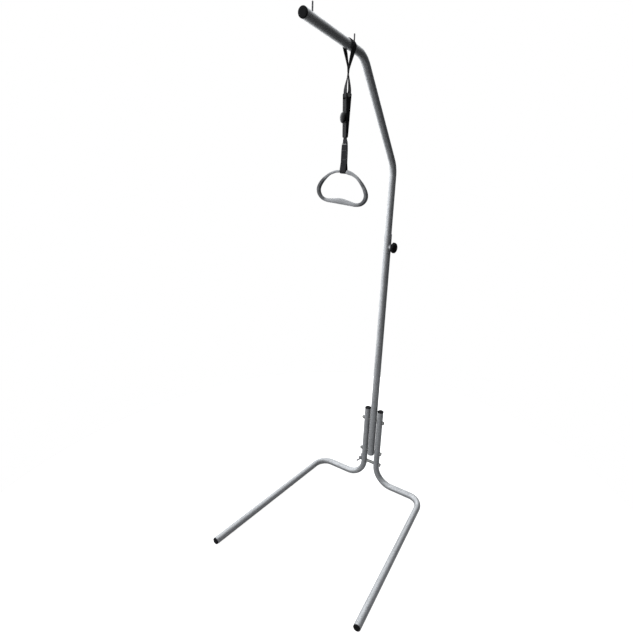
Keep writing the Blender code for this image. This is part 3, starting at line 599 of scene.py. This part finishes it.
def mast():
    """The lower mast, and the bent upper tube with the boom."""
    reach = 2 * LOWER_MAST_RADIUS
    holes = [(BOLT_HOLE, (-reach, 0, height), (reach, 0, height)) for height in BOLT_HEIGHTS[:2]]
    holes.append((BOLT_HOLE, (0, 0, CLAMP_HEIGHT), (reach, 0, CLAMP_HEIGHT)))
    lower = [(0, 0, LOWER_MAST_TOP), (0, 0, LOWER_MAST_FOOT)]
    bent_tube("mast_lower", lower, (), LOWER_MAST_RADIUS, MAST, "base", holes)
    upper = [
        (0, 0, UPPER_MAST_FOOT),
        (0, 0, SLOPE_START_HEIGHT),
        (0, -SLOPE_REACH, BOOM_HEIGHT),
        (0, -BOOM_REACH, BOOM_HEIGHT),
    ]
    above = BOOM_HEIGHT + 2 * UPPER_MAST_RADIUS
    holes = [(PIN_HOLE, (0, -reach, BOOM_HEIGHT), (0, -reach, above)) for reach in PIN_REACHES]
    bent_tube("mast_upper", upper, (MAST_BEND_RADIUS,) * 2, UPPER_MAST_RADIUS, BOOM, "boom", holes)


def boss_weld():
    """The weld round the clamp's boss, where it meets the mast."""
    path = []
    for index in range(WELD_STEPS):
        angle = 2 * math.pi * index / WELD_STEPS
        across = WELD_REACH * math.cos(angle)
        out = math.sqrt(LOWER_MAST_RADIUS**2 - across**2) + WELD_RISE
        ripple = WELD_RIPPLE * math.sin(WELD_RIPPLES * angle)
        path.append(Vector((out + ripple, across, CLAMP_HEIGHT + WELD_REACH * math.sin(angle))))
    rings = []
    for point, direction in zip(path, tangents(path, closed=True)):
        side = direction.cross(Vector((1, 0, 0))).normalized()
        other = side.cross(direction)
        ring = []
        for step in range(WELD_SIDES):
            angle = 2 * math.pi * step / WELD_SIDES
            ring.append(point + (side * math.cos(angle) + other * math.sin(angle)) * WELD_RADIUS)
        rings.append(ring)
    shape = bmesh.new()
    loft(shape, rings, closed=True)
    shape.transform(MAST)
    look = LOOKS["hammertone_paint"]
    add_piece("clamp_boss_weld", shape, look, "base", sharp=60)


def knob():
    """A fluted knob with a domed end, a hub towards the mast and a blind bore."""
    length = KNOB_LENGTH
    crown = length * 0.60
    bore = KNOB_BLIND_END - KNOB_START
    outline = [(KNOB_TIP, length)]
    for step in range(1, KNOB_DOME_STEPS + 1):
        lean = math.pi / 2 * step / KNOB_DOME_STEPS
        outline.append((KNOB_RADIUS * math.sin(lean), crown + (length - crown) * math.cos(lean)))
    outline += [
        (KNOB_RADIUS, length * 0.54),
        (KNOB_RADIUS, length * 0.44),
        (KNOB_RADIUS, length * 0.34),
        (KNOB_RADIUS * 0.995, length * 0.29),
        (KNOB_RADIUS * 0.97, length * 0.255),
        (KNOB_RADIUS * 0.92, length * 0.23),
        (KNOB_RADIUS * 0.80, length * 0.21),
        (KNOB_HUB_RADIUS * 1.10, length * 0.195),
        (KNOB_HUB_RADIUS, length * 0.165),
        (KNOB_HUB_RADIUS, length * 0.02),
        (KNOB_HUB_RADIUS * 0.96, 0),
        (BOLT_HOLE, 0),
        (BOLT_HOLE, bore),
        (KNOB_TIP, bore),
    ]
    rings = []
    for radius, height in outline:
        ring = []
        depth = KNOB_FLUTE_DEPTH * eased((radius - KNOB_RADIUS * 0.72) / (KNOB_RADIUS * 0.28))
        for index in range(KNOB_SIDES):
            angle = 2 * math.pi * index / KNOB_SIDES
            wave = 0.5 + 0.5 * math.cos(KNOB_FLUTES * angle + math.pi)
            at = radius - depth * wave**3
            across, up = at * math.cos(angle), at * math.sin(angle)
            ring.append((KNOB_START + height, across, CLAMP_HEIGHT + up))
        rings.append(ring)
    shape = bmesh.new()
    loft(shape, rings)
    shape.transform(MAST)
    look = LOOKS["black_plastic"]
    add_piece("clamp_knob_grip", shape, look, "clamp_screw", ["clamp_knob"], 40)


def ribbon(shape, path, closed=False):
    """Webbing along a path in X and Z, its width along Y, with a UV map in metres."""
    half = WEBBING_WIDTH / 2
    thick = WEBBING_THICKNESS / 2
    section = []
    for side in (1, -1):
        for step in range(-2, 3):
            angle = SELVEDGE_STEP * step
            across = side * (half - thick * 0.9 + thick * 0.9 * math.cos(angle))
            section.append((across, side * thick * math.sin(angle) / math.sin(2 * SELVEDGE_STEP)))
        for step in range(1, 8):
            across = side * (half - thick) * (1 - 2 * step / 8)
            section.append((across, side * thick))
    rings = []
    for point, direction in zip(path, tangents(path, closed)):
        normal = Vector((direction.z, 0, -direction.x))
        rings.append([point + Vector((0, across, 0)) + normal * out for across, out in section])
    rows = loft(shape, rings, closed)
    layer = shape.loops.layers.uv.verify()
    travel = {}
    distance = 0.0
    for index, row in enumerate(rows):
        if index:
            distance += (path[index] - path[index - 1]).length
        for vertex, (across, out) in zip(row, section):
            travel[vertex] = (distance, across)
    total = distance + (path[0] - path[-1]).length
    for face in shape.faces:
        values = [travel[loop.vert] for loop in face.loops]
        wraps = closed and max(v[0] for v in values) - min(v[0] for v in values) > total / 2
        for loop, (along, across) in zip(face.loops, values):
            loop[layer].uv = (along + (total if wraps and along < total / 2 else 0.0), across)


def stitches(shape, places, length):
    """Short raised threads. Each place is a middle, a direction and the way out of the cloth."""
    for middle, direction, out in places:
        side = direction.cross(out).normalized()
        rings = []
        for step in range(STITCH_STEPS + 1):
            along = -1 + 2 * step / STITCH_STEPS
            swell = max(math.sqrt(max(1 - along**2, 0.0)), 0.18)
            dip = -0.0003 * along**4
            centre = middle + direction * along * length / 2 + out * dip
            ring = []
            for index in range(STITCH_SIDES):
                angle = 2 * math.pi * index / STITCH_SIDES
                away = side * math.cos(angle) + out * math.sin(angle) * 0.8
                ring.append(centre + away * STITCH_RADIUS * swell)
            rings.append(ring)
        loft(shape, rings)


def stitch_row(height, out, half, count):
    """A row of stitches across the webbing. The out is 1 for its front face and -1 for its back."""
    places = []
    for index in range(count):
        across = half * (2 * (index + 0.5) / count - 1)
        middle = Vector((out * STITCH_FACE, across, height))
        places.append((middle, Vector((0, 1, 0)), Vector((out, 0, 0))))
    return places


def stitch_column(across, out, low, high, count):
    """A row of stitches up the webbing, on the same faces."""
    places = []
    for index in range(count):
        height = low + (high - low) * (index + 0.5) / count
        middle = Vector((out * STITCH_FACE, across, height))
        places.append((middle, Vector((0, 0, 1)), Vector((out, 0, 0))))
    return places


def twist(shape, turn_at):
    """Turns each vertex about Z by the angle of its height, and places the strap in the model."""
    for vertex in shape.verts:
        vertex.co = Matrix.Rotation(turn_at(vertex.co.z), 3, "Z") @ vertex.co
    shape.transform(STRAP)


def heights(top, bottom, steps):
    """Evenly spaced heights, both ends included."""
    return [top + (bottom - top) * step / steps for step in range(steps + 1)]


def arc_points(centre, radius, start, end, steps):
    """Points on an arc in X and Z round a point at X = 0 and the height of the centre."""
    points = []
    for step in range(steps + 1):
        angle = start + (end - start) * step / steps
        points.append((radius * math.cos(angle), centre + radius * math.sin(angle)))
    return points


def loop_half_gap(height):
    """Half the distance between the two runs of the upper loop."""
    boom_side = UPPER_MAST_RADIUS + GAP + LOOP_SLACK
    if height >= PINCH_HEIGHT + PINCH_HALF_LENGTH:
        top = BOOM_HEIGHT - LOOP_SLACK - boom_side * math.sin(LEAVE_ANGLE)
        rise = top - PINCH_HEIGHT - PINCH_HALF_LENGTH
        share = (height - PINCH_HEIGHT - PINCH_HALF_LENGTH) / rise
        return boom_side * math.cos(LEAVE_ANGLE) * share * (0.7 + 0.3 * share)
    share = (PINCH_HEIGHT - PINCH_HALF_LENGTH - height) / EYE_TAPER
    return (ADJUSTER_BAR_RADIUS + GAP) * eased(share)


def upper_turn(height):
    """The turn of the upper webbing about Z, from the boom down to the adjuster."""
    top = BOOM_HEIGHT - UPPER_MAST_RADIUS - WEBBING_THICKNESS
    low = PINCH_HEIGHT - PINCH_HALF_LENGTH - EYE_TAPER
    return ADJUSTER_TURN * min(max((top - height) / (top - low), 0.0), 1.0)


def lower_turn(height):
    """The turn of the lower webbing about Z, from the adjuster down to the handle."""
    low = HANDLE_BAR_HEIGHT + HANDLE_EYE_LENGTH
    share = min(max((ADJUSTER_FOOT - height) / (ADJUSTER_FOOT - low), 0.0), 1.0)
    return ADJUSTER_TURN + (HANDLE_TURN - ADJUSTER_TURN) * (1 - (1 - share) ** 3)


def upper_strap():
    """One ring of webbing over the boom, sewn at the pinch, and round the adjuster's bar."""
    half = WEBBING_THICKNESS / 2
    boom_side = UPPER_MAST_RADIUS + GAP + LOOP_SLACK
    bar_side = ADJUSTER_BAR_RADIUS + GAP + half
    centre = BOOM_HEIGHT - LOOP_SLACK
    top = centre - boom_side * math.sin(LEAVE_ANGLE)
    between = heights(top, ADJUSTER_BAR_HEIGHT, 60)[1:-1]
    points = arc_points(centre, boom_side + half, math.pi / 2, -LEAVE_ANGLE, 20)
    points += [(loop_half_gap(z) + LAYER_MIDDLE, z) for z in between]
    points += arc_points(ADJUSTER_BAR_HEIGHT, bar_side, 0, -math.pi / 2, 8)
    points += [(-across, up) for across, up in reversed(points[1:-1])]
    path = [Vector((across, 0, up)) for across, up in points]
    shape = bmesh.new()
    ribbon(shape, path, closed=True)
    twist(shape, upper_turn)
    look = LOOKS["black_webbing"]
    add_piece("strap_loop_webbing", shape, look, "strap", ["strap_loop"], 50)

    places = []
    for out in (1, -1):
        for rise in PINCH_ROWS:
            places += stitch_row(PINCH_HEIGHT + rise, out, WEBBING_WIDTH / 2 - PINCH_ROW_INSET, 7)
    sewn = bmesh.new()
    stitches(sewn, places, DARK_STITCH_LENGTH)
    twist(sewn, upper_turn)
    add_piece("strap_loop_stitches", sewn, DARK_THREAD, "strap", sharp=60)


def lower_strap():
    """Webbing out of the adjuster, doubled below the stitches and folded round the handle's bar."""
    half = WEBBING_THICKNESS / 2
    bar_side = HANDLE_BAR_RADIUS + GAP
    eye_top = HANDLE_BAR_HEIGHT + HANDLE_EYE_LENGTH
    doubled = STITCH_HEIGHT + STEP_DOWN
    front = [(0.0, z) for z in heights(TAIL_TOP, doubled, 24)]
    for z in heights(doubled, STITCH_HEIGHT, 6)[1:]:
        front.append((LAYER_MIDDLE * eased((doubled - z) / STEP_DOWN), z))

    def gap_at(height):
        return bar_side * eased((eye_top - height) / HANDLE_EYE_LENGTH)

    between = heights(STITCH_HEIGHT, HANDLE_BAR_HEIGHT, 36)[1:-1]
    run = [(gap_at(z) + LAYER_MIDDLE, z) for z in between]
    under = arc_points(HANDLE_BAR_HEIGHT, bar_side + half, 0, -math.pi, 16)
    back = [(-across, up) for across, up in reversed(run)]
    points = front + run + under + back
    path = [Vector((across, 0, up)) for across, up in points]
    shape = bmesh.new()
    ribbon(shape, path)
    twist(shape, lower_turn)
    look = LOOKS["black_webbing"]
    add_piece("lower_strap_webbing", shape, look, "tail", ["lower_strap"], 50)

    inset = WEBBING_WIDTH / 2 - BOX_STITCH_INSET
    low, high = (eye_top + rise for rise in BOX_STITCH_RISES)
    light, dark = [], []
    for out in (1, -1):
        light += stitch_row(STITCH_HEIGHT - LIGHT_ROW_DROP, out, inset + 0.001, 7)
        dark += stitch_row(low, out, inset, 6)
        dark += stitch_row(high, out, inset, 6)
        dark += stitch_column(inset, out, low, high, 9)
        dark += stitch_column(-inset, out, low, high, 9)
    for name, places, look, length in (
        ("light", light, LIGHT_THREAD, LIGHT_STITCH_LENGTH),
        ("dark", dark, DARK_THREAD, DARK_STITCH_LENGTH),
    ):
        sewn = bmesh.new()
        stitches(sewn, places, length)
        twist(sewn, lower_turn)
        add_piece(f"lower_strap_{name}_stitches", sewn, look, "tail", sharp=60)


def handle():
    """The ring: a thin top bar with a stop beside the strap, fuller sides and a swelling grip."""
    wide = HANDLE_HALF_WIDTH
    tall = HANDLE_HEIGHT
    bar = HANDLE_BAR_RADIUS
    stop = HANDLE_STOP_RADIUS
    side = HANDLE_SIDE_RADIUS
    grip = HANDLE_GRIP_RADIUS
    straight = WEBBING_WIDTH / 2 + 2 * GAP
    half_ring = [
        (0, 0, bar, bar),
        (straight / 2, 0, bar, bar),
        (straight, 0, bar, bar),
        (straight + STOP_RAMP, tall * 0.005, bar * 1.03, stop),
        (wide * 0.30, tall * 0.028, bar * 1.06, stop * 0.94),
        (wide * 0.42, tall * 0.066, bar * 1.04, stop * 0.80),
        (wide * 0.60, tall * 0.155, bar * 1.06, bar * 1.28),
        (wide * 0.82, tall * 0.345, side * 0.84, side * 0.84),
        (wide * 0.955, tall * 0.53, side * 0.96, side * 0.96),
        (wide, tall * 0.685, side, side),
        (wide * 0.955, tall * 0.83, side * 0.97, side * 0.97),
        (wide * 0.82, tall * 0.95, side * 0.86, side * 0.86),
        (wide * 0.61, tall, side * 0.86, side * 0.86),
        (wide * 0.34, tall * 0.985, grip * 0.80, grip * 0.80),
        (0, tall * 0.965, grip, grip),
    ]
    ring = [(across, -down, plain) for across, down, plain, stopped in half_ring]
    far_half = reversed(half_ring[1:-1])
    ring += [(-across, -down, stopped) for across, down, plain, stopped in far_half]
    count = len(ring)
    path, radii, shares = [], [], []
    for index in range(count):
        knots = [ring[(index + shift) % count] for shift in (-1, 0, 1, 2)]
        for step in range(HANDLE_FINE):
            share = step / HANDLE_FINE
            values = []
            for axis in range(3):
                a, b, c, d = (knot[axis] for knot in knots)
                values.append(
                    b
                    + 0.5 * share * (c - a)
                    + share**2 * (a - 2.5 * b + 2 * c - 0.5 * d)
                    + share**3 * (1.5 * (b - c) + 0.5 * (d - a))
                )
            across, up, radius = values
            lean = HANDLE_TILT * eased((abs(across) - straight / 2) / straight)
            if up < -tall / 2:
                lean = HANDLE_TILT
            place = Matrix.Rotation(lean, 3, "X") @ Vector((0, across, up))
            path.append(place)
            radii.append(radius)
            shares.append(up / -tall)
    rings = []
    out = Vector((1, 0, 0))
    for place, direction, radius, share in zip(path, tangents(path, closed=True), radii, shares):
        inward = direction.cross(out).normalized()
        fading = 1 - eased((share - 0.80) / 0.15)
        groove = HANDLE_GROOVE * eased((share - 0.02) / 0.12) * fading
        circle = []
        for index in range(HANDLE_SIDES):
            angle = 2 * math.pi * index / HANDLE_SIDES
            dent = groove * math.exp(-((math.sin(angle) / 0.24) ** 2))
            away = out * math.cos(angle) + inward * math.sin(angle)
            circle.append(place + away * (radius - dent))
        rings.append(circle)
    shape = bmesh.new()
    loft(shape, rings, closed=True)
    shape.transform(HANDLE @ Matrix.Translation((0, 0, HANDLE_BAR_HEIGHT)))
    look = LOOKS["grey_plastic"]
    add_piece("handle_ring", shape, look, "grip", ["handle"], 60)


legs()
mast()
boss_weld()
knob()
upper_strap()
lower_strap()
handle()


def floor():
    """A pale disc that grows brighter outwards, so that its edge is lost against the backdrop."""
    shape = bmesh.new()
    bmesh.ops.create_circle(shape, cap_ends=True, segments=96, radius=FLOOR_RADIUS)
    mesh = bpy.data.meshes.new("floor")
    shape.to_mesh(mesh)
    shape.free()
    made = bpy.data.objects.new("floor", mesh)
    made.location = (0, 0, FLOOR_HEIGHT)
    bpy.context.scene.collection.objects.link(made)
    finish = Finish("floor_look")
    length = finish.node("ShaderNodeVectorMath", {0: finish.place}, operation="LENGTH")
    glow = finish.spread(length.outputs["Value"], 0.90, 1.0, FLOOR_BRIGHT_FROM, FLOOR_RADIUS)
    seen = finish.node("ShaderNodeLightPath").outputs["Is Camera Ray"]
    finish.shader.inputs["Emission Color"].default_value = (1.0, 1.0, 1.0, 1.0)
    finish.feed(finish.shader.inputs["Emission Strength"], finish.math("MULTIPLY", glow, seen))
    mesh.materials.append(finish.surface((0.20, 0.20, 0.20, 1.0), 0.9))


def left_box():
    """A weak, broad light from the left front, aimed at the legs."""
    data = bpy.data.lights.new("left_box", "AREA")
    data.shape = "RECTANGLE"
    data.size, data.size_y = LEFT_BOX_SIZE
    data.energy = LEFT_BOX_POWER
    made = bpy.data.objects.new("left_box", data)
    made.location = LEFT_BOX_PLACE
    made.rotation_mode = "QUATERNION"
    made.rotation_quaternion = (LEFT_BOX_TARGET - LEFT_BOX_PLACE).to_track_quat("-Z", "Y")
    made.visible_camera = False
    bpy.context.scene.collection.objects.link(made)


def smooth_range(tree, value, start, low, high):
    """The value from start to 1, spread smoothly from low to high."""
    made = tree.nodes.new("ShaderNodeMapRange")
    made.interpolation_type = "SMOOTHSTEP"
    made.inputs["From Min"].default_value = start
    made.inputs["From Max"].default_value = 1.0
    made.inputs["To Min"].default_value = low
    made.inputs["To Max"].default_value = high
    tree.links.new(value, made.inputs["Value"])
    return made.outputs["Result"]


def studio():
    """White to the eye. To the surfaces it is a dim room, bright at the upper left."""
    world = bpy.data.worlds.new("studio")
    bpy.context.scene.world = world
    world.use_nodes = True
    tree = world.node_tree
    room = tree.nodes["Background"]
    room.inputs["Color"].default_value = (0.96, 0.98, 1.0, 1.0)
    toward = tree.nodes.new("ShaderNodeVectorMath")
    toward.operation = "DOT_PRODUCT"
    generated = tree.nodes.new("ShaderNodeTexCoord").outputs["Generated"]
    tree.links.new(generated, toward.inputs[0])
    toward.inputs[1].default_value = Vector(BRIGHT_SIDE).normalized()
    height = tree.nodes.new("ShaderNodeSeparateXYZ")
    tree.links.new(generated, height.inputs[0])
    glow = smooth_range(tree, toward.outputs["Value"], GLOW_START, DIM_ROOM, SIDE_GLOW)
    overhead = smooth_range(tree, height.outputs["Z"], OVERHEAD_START, 0.0, OVERHEAD_GLOW)
    both = tree.nodes.new("ShaderNodeMath")
    both.operation = "ADD"
    tree.links.new(glow, both.inputs[0])
    tree.links.new(overhead, both.inputs[1])
    tree.links.new(both.outputs[0], room.inputs["Strength"])
    white = tree.nodes.new("ShaderNodeBackground")
    white.inputs["Color"].default_value = (1.0, 1.0, 1.0, 1.0)
    white.inputs["Strength"].default_value = 1.0
    ray = tree.nodes.new("ShaderNodeLightPath")
    mix = tree.nodes.new("ShaderNodeMixShader")
    tree.links.new(ray.outputs["Is Camera Ray"], mix.inputs[0])
    tree.links.new(room.outputs[0], mix.inputs[1])
    tree.links.new(white.outputs[0], mix.inputs[2])
    tree.links.new(mix.outputs[0], tree.nodes["World Output"].inputs["Surface"])
    bpy.context.scene.view_settings.view_transform = "Standard"


floor()
studio()
left_box()
